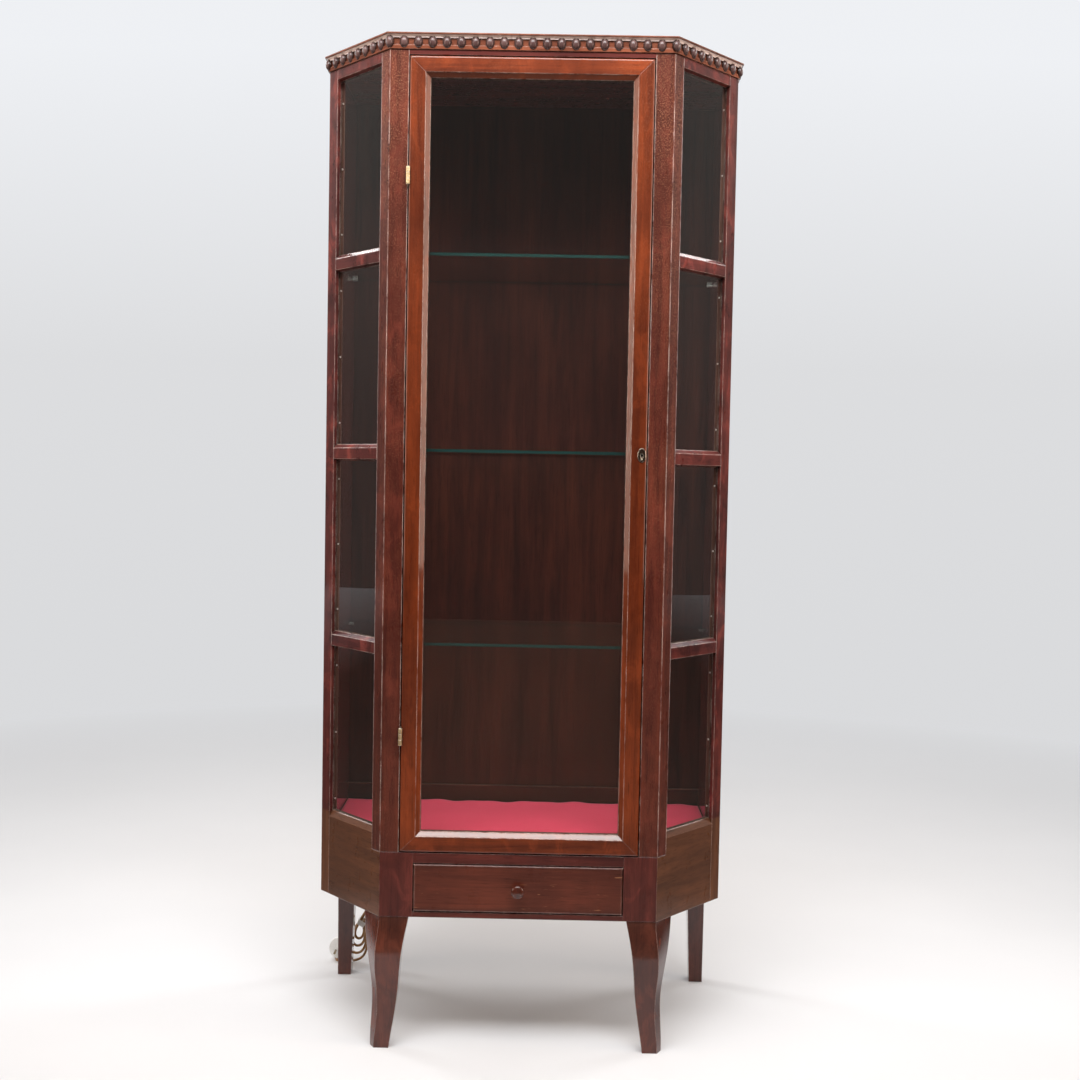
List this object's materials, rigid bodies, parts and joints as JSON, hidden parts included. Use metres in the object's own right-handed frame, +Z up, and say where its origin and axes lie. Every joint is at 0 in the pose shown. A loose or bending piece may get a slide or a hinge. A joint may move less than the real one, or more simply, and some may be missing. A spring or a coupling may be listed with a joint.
{
  "type": "display cabinet",
  "caption": "Tall free-standing display cabinet with a glazed front door, canted glazed corners, glass shelves, a beaded cornice, a drawer in the base and four legs.",
  "frame": {"origin": "on the floor, under the middle of the cabinet's box without its free flex", "axes": "+Z up, front towards -Y, +X to the right as seen from the front"},
  "size_m": [0.7385, 0.5025, 1.68],
  "materials": {
    "body_wood": "glossy polish",
    "cornice_wood": "glossy polish",
    "leg_wood": "glossy polish",
    "door_wood": "glossy polish",
    "drawer_wood": "glossy polish",
    "inner_wood": "dull stain",
    "drawer_box_wood": "unfinished",
    "bead_wood": "matt",
    "pane_glass": "clear",
    "shelf_glass": "clear, green edge",
    "felt": "felt",
    "brass": "worn",
    "lock_steel": "dull",
    "lamp_white": "satin",
    "lamp_tube_glass": "frosted",
    "flex": "satin",
    "tie_white": "matt",
    "plug_white": "satin"
  },
  "bodies": {
    "cabinet": {"top_board": "body_wood", "front_post_left": "body_wood", "front_post_right": "body_wood", "side_post_left": "body_wood", "side_post_right": "body_wood", "side_panel_left": "body_wood", "side_panel_right": "body_wood", "header_rail": "body_wood", "base_stiles": "body_wood", "base_cants": "body_wood", "base_rail_lower": "body_wood", "base_rail_upper": "body_wood", "cant_top_rails": "body_wood", "cant_muntins": "body_wood", "cornice_front": "cornice_wood", "cornice_cants": "cornice_wood", "cornice_sides": "cornice_wood", "front_leg_left": "leg_wood", "front_leg_right": "leg_wood", "rear_leg_left": "leg_wood", "rear_leg_right": "leg_wood", "door_stops": "inner_wood", "back_panel": "inner_wood", "base_bottom": "inner_wood", "floor_board": "inner_wood", "back_strip": "inner_wood", "drawer_runners": "drawer_box_wood", "pane_beads": "bead_wood", "cant_panes": "pane_glass", "glass_shelf_lower": "shelf_glass", "glass_shelf_middle": "shelf_glass", "glass_shelf_upper": "shelf_glass", "felt_mat": "felt", "hinge_post_leaves": "brass", "strike_plate": "brass", "shelf_pins": "lock_steel", "lamp_holder": "lamp_white", "lead_clips": "lamp_white", "lamp_tube": "lamp_tube_glass", "lamp_lead": "flex", "cord_hank": "flex", "cord_drop": "flex", "cord_tail": "flex", "cord_tie": "tie_white", "plug": "plug_white"},
    "door": {"door_stile_left": "door_wood", "door_stile_right": "door_wood", "door_rail_bottom": "door_wood", "door_rail_top": "door_wood", "door_glass": "pane_glass", "door_beads": "bead_wood", "lock_case": "lock_steel", "keyhole_plate": "brass", "hinge_door_leaves": "brass"},
    "lock_bolt": {"lock_bolt": "lock_steel"},
    "drawer": {"drawer_front": "drawer_wood", "drawer_knob": "drawer_wood", "drawer_sides": "drawer_box_wood", "drawer_back": "drawer_box_wood", "drawer_bottom": "drawer_box_wood"}
  },
  "joints": [
    {"name": "door_hinge", "type": "hinge", "parent": "cabinet", "child": "door", "pos_m": [-0.1998, -0.1785, 0.99], "axis": [0, 0, -1], "range_deg": [0, 170]},
    {"name": "lock_bolt_slide", "type": "slide", "parent": "door", "child": "lock_bolt", "axis": [1, 0, 0], "range_m": [0, 0.0065]},
    {"name": "drawer_slide", "type": "slide", "parent": "cabinet", "child": "drawer", "axis": [0, -1, 0], "range_m": [0, 0.2]}
  ]
}
